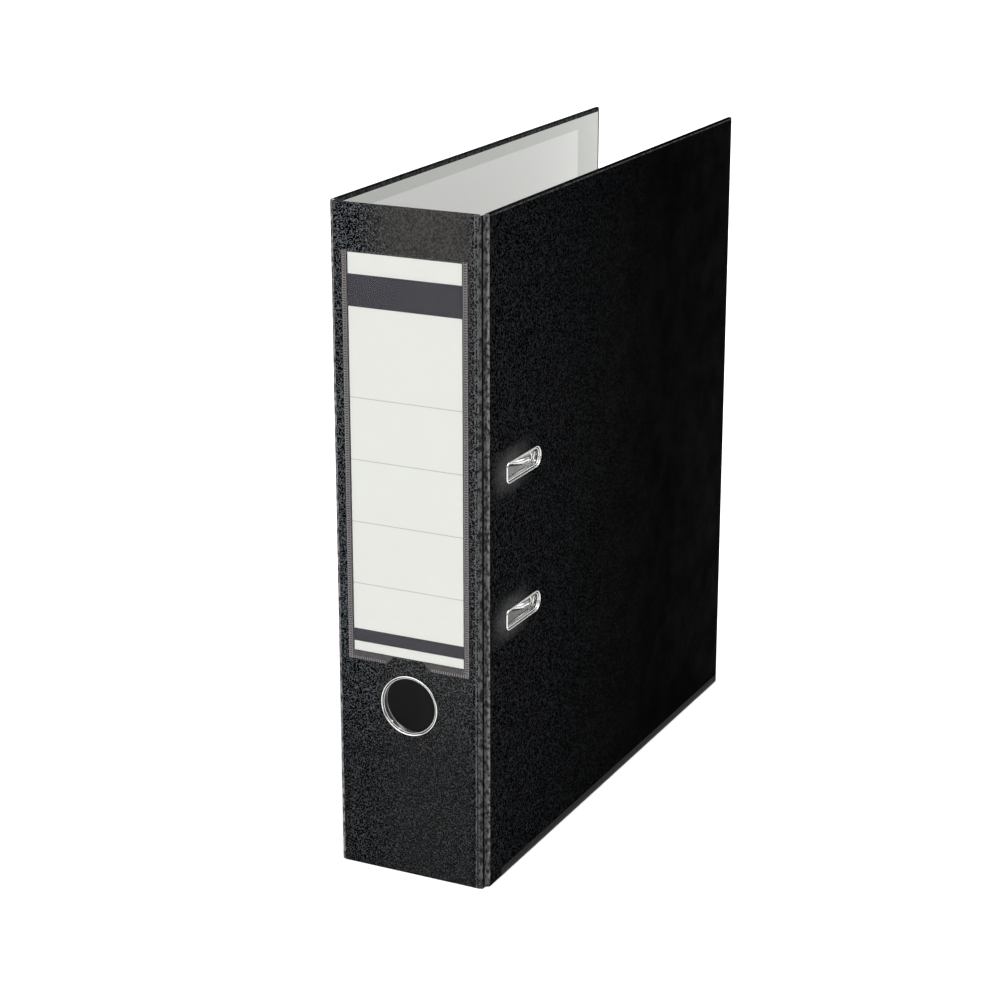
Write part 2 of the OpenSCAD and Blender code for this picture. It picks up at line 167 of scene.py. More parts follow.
def prism(name, outline, place, low, high, sharp_deg=40):
    """A solid between two heights over a closed outline of (u, v)."""
    count = len(outline)
    verts = [place(u, v, low) for u, v in outline] + [place(u, v, high) for u, v in outline]
    faces = [(i, (i + 1) % count, count + (i + 1) % count, count + i) for i in range(count)]
    faces += [tuple(range(count)), tuple(range(2 * count - 1, count - 1, -1))]
    return piece_from(name, verts, faces, sharp_deg)


def circle_outline(radius, steps=96):
    """Points round a circle, each with its outward direction."""
    angles = [2 * math.pi * i / steps for i in range(steps)]
    return [(radius * math.cos(a), radius * math.sin(a), math.cos(a), math.sin(a)) for a in angles]


def slot_outline(length, height, corner, steps=14):
    """A slot: round at its far end, squarer at the end near the spine."""
    corners = [
        (length / 2 - height / 2, 0, height / 2, -90, 90, 2 * steps),
        (corner - length / 2, height / 2 - corner, corner, 90, 180, steps),
        (corner - length / 2, corner - height / 2, corner, 180, 270, steps),
    ]
    points = []
    for cu, cv, radius, start, end, count in corners:
        for i in range(count + 1):
            a = math.radians(start + (end - start) * i / count)
            points.append((cu + radius * math.cos(a), cv + radius * math.sin(a), math.cos(a), math.sin(a)))
    return points


def bead(width, height, base=0.0, steps=10):
    """A half-round profile from one side to the other, standing on height base."""
    points = []
    for i in range(steps + 1):
        a = math.pi * i / steps
        points.append((width * (1 - math.cos(a)) / 2, base + height * math.sin(a)))
    return points


def filleted_path(corners, radii, step_deg=6):
    """Straight runs between corners, with a round bend of its own radius at each."""
    points = [Vector(corners[0])]
    for i in range(1, len(corners) - 1):
        here = Vector(corners[i])
        back = (Vector(corners[i - 1]) - here).normalized()
        ahead = (Vector(corners[i + 1]) - here).normalized()
        turn = math.pi - back.angle(ahead)
        reach = radii[i - 1] * math.tan(turn / 2)
        centre = here + (back + ahead).normalized() * (radii[i - 1] / math.cos(turn / 2))
        start, end = here + back * reach - centre, here + ahead * reach - centre
        count = max(3, round(math.degrees(turn) / step_deg))
        for k in range(count + 1):
            t = k / count
            mix = (math.sin((1 - t) * turn) * start + math.sin(t * turn) * end) / math.sin(turn)
            points.append(centre + mix)
    points.append(Vector(corners[-1]))
    return points


def wire(name, path, radius, sides=24, chamfer=0.35):
    """A round wire along a path, with its two ends slightly chamfered."""
    path = [Vector(p) for p in path]
    tangents = []
    for i, point in enumerate(path):
        ahead = path[min(i + 1, len(path) - 1)] - path[max(i - 1, 0)]
        tangents.append(ahead.normalized())
    across = tangents[0].orthogonal().normalized()
    rings = []
    for i, point in enumerate(path):
        across = (across - across.dot(tangents[i]) * tangents[i]).normalized()
        rings.append((point, across.copy(), tangents[i].cross(across), radius))
    first, last = rings[0], rings[-1]
    rings[0] = (first[0] + tangents[0] * chamfer, *first[1:])
    rings[-1] = (last[0] - tangents[-1] * chamfer, *last[1:])
    rings.insert(0, (first[0], first[1], first[2], radius - chamfer))
    rings.append((last[0], last[1], last[2], radius - chamfer))
    verts = []
    for point, a, b, r in rings:
        for k in range(sides):
            angle = 2 * math.pi * k / sides
            verts.append(point + (a * math.cos(angle) + b * math.sin(angle)) * r)
    faces = []
    for i in range(len(rings) - 1):
        for k in range(sides):
            m = (k + 1) % sides
            faces.append((i * sides + k, i * sides + m, (i + 1) * sides + m, (i + 1) * sides + k))
    faces += [tuple(range(sides)), tuple(range(len(verts) - 1, len(verts) - 1 - sides, -1))]
    return piece_from(name, verts, faces)


def turned(name, start, axis, profile, steps=48):
    """A turned solid: a profile of (distance along the axis, radius) that begins and ends on the axis."""
    axis = Vector(axis).normalized()
    a = axis.orthogonal().normalized()
    b = axis.cross(a)
    start = Vector(start)
    verts, rows = [], []
    for along, radius in profile:
        if radius < 1e-6:
            rows.append([len(verts)])
            verts.append(start + axis * along)
            continue
        rows.append(list(range(len(verts), len(verts) + steps)))
        for k in range(steps):
            angle = 2 * math.pi * k / steps
            verts.append(start + axis * along + (a * math.cos(angle) + b * math.sin(angle)) * radius)
    faces = []
    for row, following in zip(rows, rows[1:]):
        for k in range(steps):
            m = (k + 1) % steps
            if len(row) == 1:
                faces.append((row[0], following[k], following[m]))
            elif len(following) == 1:
                faces.append((row[k], following[0], row[m]))
            else:
                faces.append((row[k], following[k], following[m], row[m]))
    return piece_from(name, verts, faces)


def joined(name, pieces):
    """Several pieces as one mesh object."""
    bm = bmesh.new()
    for piece in pieces:
        bm.from_mesh(piece.data)
    mesh = bpy.data.meshes.new(name)
    bm.to_mesh(mesh)
    bm.free()
    for piece in pieces:
        bpy.data.objects.remove(piece)
    mesh.shade_smooth()
    mesh.set_sharp_from_angle(angle=math.radians(40))
    obj = bpy.data.objects.new(name, mesh)
    bpy.context.scene.collection.objects.link(obj)
    return obj


# ---- material helpers ----

class Nodes:
    """A short way to write a material's nodes."""

    def __init__(self, name):
        self.material = bpy.data.materials.new(name)
        self.material.use_nodes = True
        self.tree = self.material.node_tree
        self.shader = self.tree.nodes["Principled BSDF"]

    def add(self, kind, **values):
        node = self.tree.nodes.new(kind)
        for key, value in values.items():
            if hasattr(node, key):
                setattr(node, key, value)
            else:
                node.inputs[key.replace("_", " ")].default_value = value
        return node

    def join(self, source, target):
        self.tree.links.new(source, target)
        return source

    def place(self):
        return self.add("ShaderNodeTexCoord").outputs["Object"]

    def axis(self, letter):
        split = self.add("ShaderNodeSeparateXYZ")
        self.join(self.place(), split.inputs[0])
        return split.outputs[letter]

    def maths(self, operation, first, second=None, third=None, clamp=False):
        node = self.add("ShaderNodeMath", operation=operation, use_clamp=clamp)
        for socket, value in zip(node.inputs, (first, second, third)):
            if value is None:
                continue
            if isinstance(value, (int, float)):
                socket.default_value = value
            else:
                self.join(value, socket)
        return node.outputs[0]

    def noise(self, scale, detail=3.0, roughness=0.5, stretch=None):
        node = self.add("ShaderNodeTexNoise")
        node.inputs["Scale"].default_value = scale
        node.inputs["Detail"].default_value = detail
        node.inputs["Roughness"].default_value = roughness
        self.join(self.stretched(stretch), node.inputs["Vector"])
        return node.outputs["Fac"]

    def stretched(self, stretch):
        if stretch is None:
            return self.place()
        mapping = self.add("ShaderNodeMapping")
        mapping.inputs["Scale"].default_value = stretch
        self.join(self.place(), mapping.inputs["Vector"])
        return mapping.outputs[0]

    def ramp(self, source, stops, interpolation="LINEAR"):
        node = self.add("ShaderNodeValToRGB")
        node.color_ramp.interpolation = interpolation
        while len(node.color_ramp.elements) < len(stops):
            node.color_ramp.elements.new(0.5)
        for element, (position, colour) in zip(node.color_ramp.elements, stops):
            element.position = position
            element.color = colour if isinstance(colour, tuple) else (colour,) * 3 + (1,)
        self.join(source, node.inputs[0])
        return node.outputs[0]

    def mix(self, factor, first, second):
        node = self.add("ShaderNodeMix", data_type="RGBA")
        sockets = [s for s in node.inputs if s.enabled and s.type in ("VALUE", "RGBA")]
        for socket, value in zip((sockets[0], sockets[-2], sockets[-1]), (factor, first, second)):
            if isinstance(value, tuple):
                socket.default_value = value
            elif isinstance(value, (int, float)):
                socket.default_value = value
            else:
                self.join(value, socket)
        return [s for s in node.outputs if s.enabled][0]

    def bump(self, height, strength, distance):
        node = self.add("ShaderNodeBump")
        node.inputs["Strength"].default_value = strength
        node.inputs["Distance"].default_value = distance
        self.join(height, node.inputs["Height"])
        self.join(node.outputs[0], self.shader.inputs["Normal"])

    def set(self, **values):
        for key, value in values.items():
            self.shader.inputs[key.replace("_", " ")].default_value = value

    def slope(self, letter, start, end):
        """0 before start and 1 after end, in millimetres along an axis."""
        k = 1 / ((end - start) * MM)
        return self.maths("MULTIPLY_ADD", self.axis(letter), k, -start * MM * k, clamp=True)

    def band(self, letter, low, high, soft=0.15):
        """1 between two places on an axis, in millimetres, and 0 outside them."""
        return self.maths("MULTIPLY", self.slope(letter, low - soft, low + soft),
                          self.slope(letter, high + soft, high - soft))


def grey(value, warmth=0.0):
    """A grey, turned towards red by a positive warmth and towards blue by a negative one."""
    return (value * (1 + warmth), value, value * (1 - warmth), 1)


def foil_material(name, ridges, valleys, grain=820):
    """Black embossed foil: winding ridges of real grain on a darker ground, their crests painted pale as
    highlights. Gives back its nodes and colour.
    """
    n = Nodes(name)
    ridge = worms(n, grain)
    fine = n.noise(2300, 2, 0.5)
    n.set(Specular_IOR_Level=0.001)
    n.join(n.ramp(n.noise(60, 3, 0.6), [(0.35, 0.50), (0.7, 0.66)]), n.shader.inputs["Roughness"])
    n.bump(n.maths("ADD", ridge, n.maths("MULTIPLY", fine, 0.5)), 0.6, 0.00012)
    return n, n.mix(n.maths("MULTIPLY", fine, 0.15), n.mix(ridge, valleys, ridges), grey(0.0004))


def worms(n, grain):
    """Winding ridges: 1 on their crests and 0 between them."""
    field = n.noise(grain, 1.5, 0.4)
    from_crest = n.maths("ABSOLUTE", n.maths("SUBTRACT", field, 0.5))
    return n.ramp(from_crest, [(0.0, 1.0), (0.025, 0.9), (0.06, 0.0)])


def finished_foil(n, tone):
    n.join(tone, n.shader.inputs["Base Color"])
    return n.material


def spine_foil_material():
    """The spine's foil carries a painted sheen, a flatter grey, above the label and towards its right side."""
    n, deep = foil_material("spine_black_foil", grey(0.085, -0.08), grey(0.0008))
    # painted sheen: a flatter grey across the middle of the spine, strongest near its top
    middle = n.maths("MULTIPLY", n.slope("X", -24, -2), n.slope("X", 34, 30))
    painted_highlight = n.maths("MULTIPLY", middle, n.maths("MULTIPLY_ADD", n.slope("Z", 200, 312), 0.65, 0.30))
    flecks = n.ramp(n.noise(1300, 2, 0.5), [(0.38, 0.0), (0.62, 1.0)])
    flat = n.mix(flecks, grey(0.017, 0.04), grey(0.043, 0.04))
    tone = n.mix(painted_highlight, deep, flat)
    # painted shade: the foil darkens towards the spine's foot, below 130 mm
    low = n.maths("MULTIPLY", n.slope("Z", 130, 60), 0.55)
    tone = n.mix(low, tone, grey(0.003, -0.1))
    # painted highlights in two streaky bands along the spine's right edge
    edge_highlight_bands = n.maths("ADD", n.band("X", SPINE_EDGE - 2.3, SPINE_EDGE - 1.6),
                    n.band("X", SPINE_EDGE - 0.9, SPINE_EDGE - 0.1))
    tone = n.mix(n.maths("MULTIPLY", edge_highlight_bands, streaks(n)), tone, grey(0.075))
    # painted highlight along the spine's left edge, broken into streaks
    left = n.slope("X", -SPINE_EDGE + 0.8, -SPINE_EDGE + 0.4)
    return finished_foil(n, n.mix(n.maths("MULTIPLY", left, streaks(n)), tone, grey(0.19)))


def streaks(n):
    """Uneven streaks along an upright edge, breaking up the painted edge highlights."""
    return n.ramp(n.noise(650, 2, 0.6, (1, 1, 0.6)), [(0.4, 0.15), (0.6, 1.0)])


def cover_foil_material(name, middle, near, far, falloff_strength, edge_highlight_tone, top_highlight_band, slots=()):
    """A cover's foil, with painted highlights along its hinge edge and its top edge, a painted sheen beside its
    slots, and painted shade darkening it towards the fore edge.
    """
    n, tone = foil_material(name, grey(near, -0.1), grey(0.0004), 700)
    # painted shade: the foil darkens from the hinge edge towards the fore edge
    painted_falloff = n.maths("MULTIPLY", n.slope("Y", HINGE_EDGE, FORE_EDGE - 90), falloff_strength)
    tone = n.mix(painted_falloff, tone, grey(far, -0.15))
    for low, high in slots:
        # painted sheen beside each slot, broken up by noise
        sheen = n.maths("MULTIPLY", painted_slot_sheen(n, low, high), n.noise(900, 3, 0.6))
        tone = n.mix(sheen, tone, grey(0.10))
    # painted highlight along the cover's hinge edge, broken into streaks
    rear = n.band("Y", HINGE_EDGE - 1, HINGE_EDGE + 0.6)
    tone = n.mix(n.maths("MULTIPLY", rear, streaks(n)), tone, grey(edge_highlight_tone))
    # painted highlight along the cover's top edge
    top = n.maths("MULTIPLY", n.band("Z", TOP - top_highlight_band, TOP - 0.5, 0.1), n.slope("X", middle, middle + 0.4))
    return finished_foil(n, n.mix(n.maths("MULTIPLY", top, streaks(n)), tone, grey(0.04)))


def painted_slot_sheen(n, low, high):
    """A painted sheen beside a slot's rim, on the spine's side."""
    spread = n.band("Y", low.y - 6, (low.y + high.y) / 2, 9)
    return n.maths("MULTIPLY", spread, n.band("Z", low.z, high.z + 2, 6))


def hinge_foil_material():
    """The scored fold: painted highlights on the beads either side of a black groove, brighter on the back
    cover's side.
    """
    n, tone = foil_material("hinge_black_foil", grey(0.012), grey(0.0006))
    bead = n.maths("SUBTRACT", 1, n.band("Y", SPINE_FACE + 0.75, SPINE_FACE + 2.3))
    # painted highlight on the fold's beads, stronger on the back cover's side
    painted_highlight = n.mix(n.slope("X", 1, -1), grey(0.065), grey(0.19))
    return finished_foil(n, n.mix(n.maths("MULTIPLY", bead, streaks(n)), tone, painted_highlight))


def protector_material():
    """Black painted steel, with a painted sheen along its lower bend."""
    n = Nodes("painted_edge_steel")
    scratch = n.noise(900, 4, 0.65, (1, 0.05, 1))
    paint = n.mix(scratch, grey(0.006), grey(0.016))
    painted_highlight = n.mix(scratch, grey(0.014), grey(0.036))
    # painted sheen: a lighter band along the lower bend
    sheen_band = n.maths("MULTIPLY", n.slope("Z", 2.2, 1.3), n.slope("Z", 0.5, 1.0))
    n.join(n.mix(sheen_band, paint, painted_highlight), n.shader.inputs["Base Color"])
    n.join(n.ramp(scratch, [(0.3, 0.35), (0.7, 0.55)]), n.shader.inputs["Roughness"])
    n.set(Specular_IOR_Level=0.01)
    n.bump(scratch, 0.15, 0.00005)
    return n.material


def lining_material(name, fields=()):
    """Light grey paper with plain fields, printed or painted shade, each given by its corners in Y and Z and
    its colour.
    """
    n = Nodes(name)
    fibre = n.noise(1300, 4, 0.6)
    cloud = n.noise(26, 3, 0.55)
    base = n.mix(cloud, (0.415, 0.425, 0.405, 1), (0.455, 0.465, 0.445, 1))
    for y_low, y_high, z_low, z_high, colour in fields:
        inside = n.maths("MULTIPLY", n.band("Y", y_low, y_high), n.band("Z", z_low, z_high))
        base = n.mix(inside, base, colour)
    base = n.mix(n.maths("MULTIPLY", fibre, 0.12), base, (0.32, 0.32, 0.30, 1))
    n.join(base, n.shader.inputs["Base Color"])
    n.join(n.ramp(fibre, [(0.3, 0.62), (0.7, 0.80)]), n.shader.inputs["Roughness"])
    n.set(Specular_IOR_Level=0.3)
    n.bump(fibre, 0.35, 0.00004)
    return n.material


def bright_material(name, colour, roughness, scratch=0.05, grain=(1, 1, 1)):
    """Plated metal: even colour, fine drawn scratches and a little haze."""
    n = Nodes(name)
    fine = n.noise(2600, 4, 0.65, grain)
    haze = n.noise(90, 3, 0.6)
    dark = tuple(c * 0.86 for c in colour) + (1,)
    n.join(n.mix(haze, dark, tuple(colour) + (1,)), n.shader.inputs["Base Color"])
    n.join(n.ramp(n.maths("ADD", n.maths("MULTIPLY", haze, 0.6), n.maths("MULTIPLY", fine, 0.4)),
                  [(0.3, roughness * 0.7), (0.75, roughness * 1.45)]), n.shader.inputs["Roughness"])
    n.set(Metallic=1.0)
    n.bump(fine, scratch, 0.00003)
    return n.material


def film_material(name, colour, alpha, grain):
    """Soft clear film: nearly unseen over the card, milky where it is pressed to the covering."""
    n = Nodes(name)
    haze = n.noise(grain, 3, 0.6)
    dark = tuple(c * 0.8 for c in colour) + (1,)
    n.join(n.mix(haze, dark, tuple(colour) + (1,)), n.shader.inputs["Base Color"])
    n.join(n.ramp(haze, [(0.3, alpha * 0.85), (0.7, alpha)]), n.shader.inputs["Alpha"])
    n.join(n.ramp(n.noise(60, 2, 0.5), [(0.3, 0.25), (0.7, 0.4)]), n.shader.inputs["Roughness"])
    n.set(Specular_IOR_Level=0.05)
    n.bump(haze, 0.15, 0.00008)
    return n.material


# Distances down from the label's top edge, in millimetres
LABEL_HEAD = (9.6, 24.4)
LABEL_FOOT = (176.4, 182.6)
LABEL_RULES = (66.1, 95.2, 124.6, 154.2)
RULE_W = 0.45


def label_material():
    """White card printed with two dark bands and four thin writing rules."""
    n = Nodes("label_card_print")
    down = n.maths("SUBTRACT", LABEL_HIGH.z * MM, n.axis("Z"))
    fibre = n.noise(1600, 4, 0.6)

    def between(start, end):
        return n.maths("COMPARE", down, (start + end) / 2 * MM, (end - start) / 2 * MM)

    paper = n.mix(fibre, (0.44, 0.445, 0.42, 1), (0.47, 0.475, 0.45, 1))
    ink = n.mix(fibre, (0.016, 0.016, 0.021, 1), (0.021, 0.021, 0.027, 1))
    bands = n.maths("ADD", between(*LABEL_HEAD), between(*LABEL_FOOT))
    face = n.mix(bands, paper, ink)
    rules = None
    for rule in LABEL_RULES:
        line = between(rule - RULE_W / 2, rule + RULE_W / 2)
        rules = line if rules is None else n.maths("ADD", rules, line)
    face = n.mix(n.maths("MULTIPLY", rules, 0.8), face, (0.26, 0.26, 0.26, 1))
    n.join(face, n.shader.inputs["Base Color"])
    n.join(n.ramp(fibre, [(0.3, 0.50), (0.7, 0.66)]), n.shader.inputs["Roughness"])
    n.set(Specular_IOR_Level=0.05)
    n.bump(fibre, 0.2, 0.00003)
    return n.material


def black_plastic_material():
    """Moulded black plastic with a fine grain."""
    n = Nodes("moulded_black")
    grain = n.noise(1800, 3, 0.6)
    n.join(n.ramp(grain, [(0.3, 0.012), (0.7, 0.024)]), n.shader.inputs["Base Color"])
    n.join(n.ramp(grain, [(0.3, 0.32), (0.7, 0.46)]), n.shader.inputs["Roughness"])
    n.bump(grain, 0.2, 0.00005)
    return n.material


def floor_material():
    """Plain pale studio floor."""
    n = Nodes("studio_floor")
    n.join(n.ramp(n.noise(3, 2, 0.5), [(0.3, 0.86), (0.7, 0.90)]), n.shader.inputs["Base Color"])
    n.set(Roughness=0.9, Specular_IOR_Level=0.1)
    return n.material


SPINE_FOIL = spine_foil_material()
SLOTS = [(SLOT_LOW, SLOT_HIGH), (LOWER_SLOT_LOW, LOWER_SLOT_HIGH)]
FRONT_FOIL = cover_foil_material("front_black_foil", PANEL_MID, 0.016, 0.0002, 1.0, 0.13, 1.25, SLOTS)
BACK_FOIL = cover_foil_material("back_black_foil", -PANEL_MID, 0.030, 0.004, 0.35, 0.30, 2.5)
HINGE_FOIL = hinge_foil_material()
LIGHT_FIELD = (-136.0, 117.0, 14.0, 310.0, (0.565, 0.57, 0.555, 1))
# painted shade: a dark field on the back lining where the finger hole looks into the file's shaded inside
HOLE_SHADE_FIELD = (-112.0, -42.0, 22.0, 90.0, (0.016, 0.016, 0.020, 1))
BACK_LINING = lining_material("back_lining_paper", (LIGHT_FIELD, HOLE_SHADE_FIELD))
PLAIN_LINING = lining_material("plain_lining_paper")
CHROME = bright_material("bright_nickel", (0.56, 0.56, 0.55), 0.12)
PRESSED = bright_material("plated_pressed_steel", (0.48, 0.485, 0.49), 0.26, 0.12, (1, 0.2, 1))
SPRING = bright_material("spring_steel", (0.24, 0.24, 0.26), 0.34, 0.15, (1, 0.1, 1))
EDGE_METAL = protector_material()
FILM = film_material("clear_film", (0.45, 0.45, 0.45), 0.02, 60)
BORDER = film_material("film_border", (0.068, 0.063, 0.065), 0.85, 300)
WELD = film_material("film_weld", (0.18, 0.173, 0.176), 0.9, 700)
LABEL = label_material()
BLACK = black_plastic_material()


def dress(piece, body, material, slot, *replaced):
    """Gives a new piece its material, its body and the nodes it stands for; slot is not used."""
    piece.data.materials.clear()
    piece.data.materials.append(material)
    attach(piece, body)
    if replaced:
        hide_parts(*replaced)
    return piece


# ---- covers and spine ----

FOIL_R = 0.7
LINING_MARGIN = 2.2
LINING_PROUD = 0.14
LINING_SUNK = 0.10
LINING_R = 0.05


CUTTER_REACH = 3


def slot_cutter(low, high, grow):
    """A block with a slot's outline, long enough to go through the front cover."""
    length, height = high.y - low.y + 2 * grow, high.z - low.z + 2 * grow
    outline = [(u, v) for u, v, _, _ in slot_outline(length, height, SLOT_CORNER + grow)]
    mid_y, mid_z = (low.y + high.y) / 2, (low.z + high.z) / 2
    return prism("slot_cutter", outline, lambda u, v, h: (h, mid_y + u, mid_z + v),
                 PANEL_IN - CUTTER_REACH, PANEL_OUT + CUTTER_REACH)


SLOT_CORNER = 2.6
RIM_W = 1.6
COLLAR_WALL = 0.3


def slot_cutters():
    return [slot_cutter(low, high, COLLAR_WALL - RIM_W) for low, high in SLOTS]


def ring_cutter(radius):
    """A disc that goes through the spine where the finger ring sits."""
    outline = [(u, v) for u, v, _, _ in circle_outline(radius)]
    return prism("ring_cutter", outline, lambda u, v, h: (u, h, RING_MID_Z + v),
                 SPINE_FACE - CUTTER_REACH, SPINE_INSIDE + CUTTER_REACH)


RING_MID_Z = (RING_LOW.z + RING_HIGH.z) / 2
RING_OUT_R = (RING_HIGH.x - RING_LOW.x) / 2
RING_BEAD_W = 1.6
RING_IN_R = RING_OUT_R - RING_BEAD_W


def make_covers():
    """The two covers and the spine as foil-covered boards, with the slots and the finger hole cut through."""
    front = rounded_box("front_foil", (PANEL_IN, HINGE_EDGE, 0.02), (PANEL_OUT, FORE_EDGE, TOP), FOIL_R)
    cut(front, slot_cutters())
    dress(front, "front_cover", FRONT_FOIL, "covering", "front_covering", "front_board")
    back = rounded_box("back_foil", (-PANEL_OUT, HINGE_EDGE, 0.02), (-PANEL_IN, FORE_EDGE, TOP), FOIL_R)
    dress(back, "back_cover", BACK_FOIL, "covering", "back_covering", "back_board")
    spine = rounded_box("spine_foil", (-SPINE_EDGE, SPINE_FACE, 0.0), (SPINE_EDGE, SPINE_INSIDE, TOP), FOIL_R)
    cut(spine, [ring_cutter(RING_IN_R + COLLAR_WALL)])
    dress(spine, "spine", SPINE_FOIL, "covering", "spine_covering", "spine_board")


def make_linings():
    """A thin sheet of paper on the inner face of each panel, short of the edges."""
    low_z, high_z = LINING_MARGIN, TOP - LINING_MARGIN
    rear, fore = HINGE_EDGE + 0.4, FORE_EDGE - LINING_MARGIN
    front = rounded_box("front_lining_paper", (PANEL_IN - LINING_PROUD, rear, low_z),
                        (PANEL_IN + LINING_SUNK, fore, high_z), LINING_R, 1)
    cut(front, slot_cutters())
    dress(front, "front_cover", PLAIN_LINING, "lining", "front_lining")
    back = rounded_box("back_lining_paper", (-PANEL_IN - LINING_SUNK, rear, low_z),
                       (-PANEL_IN + LINING_PROUD, fore, high_z), LINING_R, 1)
    dress(back, "back_cover", BACK_LINING, "lining", "back_lining")
    spine = rounded_box("spine_lining_paper", (-SPINE_EDGE + 0.4, SPINE_INSIDE - LINING_SUNK, low_z),
                        (SPINE_EDGE - 0.4, SPINE_INSIDE + LINING_PROUD, high_z), LINING_R, 1)
    cut(spine, [ring_cutter(RING_IN_R + COLLAR_WALL)])
    dress(spine, "spine", PLAIN_LINING, "lining", "spine_lining")


HINGE_FOIL_T = 0.4
HINGE_LINING_T = 0.2
# Each cover with its side of the file
SIDES = [(1, "front_cover"), (-1, "back_cover")]
# The fold beside the spine as X and depth from the spine's face: a bead, a groove, the turn into the cover
HINGE_FOLD = [(35.7, 0.75), (36.35, 0.5), (36.9, 0.7), (37.15, 1.3),
              (37.15, 2.2), (37.1, 3.0), (37.4, 3.6), (38.0, 4.1)]


def thick_strip(name, line, thickness, z_low, z_high, rows=60):
    """A strip of sheet standing along Z, whose section is a line of (x, y) points with a thickness."""
    left, right = [], []
    for i, point in enumerate(line):
        ahead = Vector(line[min(i + 1, len(line) - 1)]) - Vector(line[max(i - 1, 0)])
        normal = Vector((-ahead.y, ahead.x)).normalized() * (thickness / 2)
        left.append(Vector(point) + normal)
        right.append(Vector(point) - normal)
    section = left + right[::-1]
    count = len(section)
    verts = []
    for row in range(rows + 1):
        z = z_low + (z_high - z_low) * row / rows
        verts += [(p.x, p.y, z) for p in section]
    faces = []
    for row in range(rows):
        for k in range(count):
            m = (k + 1) % count
            faces.append((row * count + k, row * count + m, (row + 1) * count + m, (row + 1) * count + k))
    half = count // 2
    for row, base in ((0, 0), (1, rows * count)):
        for k in range(half - 1):
            quad = (base + k, base + k + 1, base + count - 2 - k, base + count - 1 - k)
            faces.append(quad)
    return piece_from(name, verts, faces, 70)


def make_hinges():
    """The fold of the covering beside the spine, and the lining's fold inside it."""
    for side, cover in SIDES:
        outer = [(side * x, SPINE_FACE + y) for x, y in HINGE_FOLD]
        strip = thick_strip("hinge_foil_" + cover, smooth_line(outer), HINGE_FOIL_T, 0.4, TOP - 0.4)
        dressed_strip(strip, HINGE_FOIL)
        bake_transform(strip)
        node = cover.replace("cover", "hinge_strip")
        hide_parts(node)
        inner = [(SPINE_EDGE - 0.9, SPINE_INSIDE + 0.02), (SPINE_EDGE - 0.2, SPINE_INSIDE + 0.10),
                 (SPINE_EDGE + 0.15, SPINE_INSIDE + 0.5), (PANEL_IN - 0.05, HINGE_EDGE + 0.2),
                 (PANEL_IN + 0.02, HINGE_EDGE + 1.2)]
        inner = smooth_line([(side * x, y) for x, y in inner])
        lining = thick_strip("hinge_lining_" + cover, inner, HINGE_LINING_T,
                             LINING_MARGIN, TOP - LINING_MARGIN)
        dressed_strip(lining, PLAIN_LINING)
        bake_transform(lining)


def dressed_strip(strip, material):
    """Gives a blended strip its material."""
    strip.data.materials.append(material)


def smooth_line(points, steps=6):
    """A Catmull-Rom curve through a few points."""
    pts = [Vector(p) for p in points]
    pts = [2 * pts[0] - pts[1]] + pts + [2 * pts[-1] - pts[-2]]
    out = []
    for a, b, c, d in zip(pts, pts[1:], pts[2:], pts[3:]):
        for i in range(steps):
            t = i / steps
            out.append(0.5 * (2 * b + (c - a) * t + (2 * a - 5 * b + 4 * c - d) * t * t
                              + (3 * b - a - 3 * c + d) * t * t * t))
    out.append(pts[-2])
    return out


def make_protectors():
    """A thin channel pressed over each cover's bottom edge."""
    wall, wrap = 0.25, 0.12
    for side, cover in SIDES:
        x_in, x_out = PANEL_IN - wrap, PANEL_OUT + wrap
        section = [(x_in, PROTECTOR_HIGH.z), (x_in, 0.6), (x_in + 0.6, 0.0), (x_out - 0.6, 0.0),
                   (x_out, 0.6), (x_out, PROTECTOR_HIGH.z)]
        inner = [(x_out - wall, PROTECTOR_HIGH.z), (x_out - wall, 0.75), (x_out - 0.75, wall),
                 (x_in + 0.75, wall), (x_in + wall, 0.75), (x_in + wall, PROTECTOR_HIGH.z)]
        outline = [(side * x, z) for x, z in section + inner]
        channel = prism("edge_strip_" + cover, outline, lambda u, v, h: (u, h, v),
                        PROTECTOR_LOW.y, PROTECTOR_HIGH.y)
        dress(channel, cover, EDGE_METAL, "edge_metal", cover.replace("cover", "edge_protector"))


# ---- eyelets, ring, label ----

def eyelet_profile(bead_w, rim_w, rim_h, through, flange_w, flange_h):
    """A thin bead outside, a step down to the collar through the panel, and a flange turned out inside."""
    top = [(-offset, height) for offset, height in bead(bead_w, rim_h)]
    step = (rim_w - bead_w) / 2
    down = [(-bead_w, 0.1), (-bead_w - 0.12, -0.25), (-bead_w - 0.24, -0.25), (-bead_w - step, 0.12),
            (-rim_w + 0.15, 0.08), (-rim_w, -0.2), (-rim_w, -through - 0.1),
            (-rim_w + 0.15, -through - flange_h), (-rim_w + flange_w, -through - flange_h),
            (-rim_w + flange_w + 0.15, -through), (-rim_w + COLLAR_WALL, -through + 0.02),
            (-rim_w + COLLAR_WALL, -0.3)]
    return top[:-1] + down


def make_eyelets():
    """The bright rims of the two slots."""
    for name, low, high in (("upper_slot_eyelet", SLOT_LOW, SLOT_HIGH),
                            ("lower_slot_eyelet", LOWER_SLOT_LOW, LOWER_SLOT_HIGH)):
        outline = slot_outline(high.y - low.y, high.z - low.z, SLOT_CORNER)
        mid_y, mid_z = (low.y + high.y) / 2, (low.z + high.z) / 2
        profile = eyelet_profile(0.8, RIM_W, high.x - PANEL_OUT, PANEL_T, 1.6, 0.4)
        rim = swept_loop(name + "_rim", outline, profile,
                         lambda u, v, h, y=mid_y, z=mid_z: (PANEL_OUT + h, y + u, z + v), 50)
        dress(rim, "front_cover", CHROME, "chrome", name)


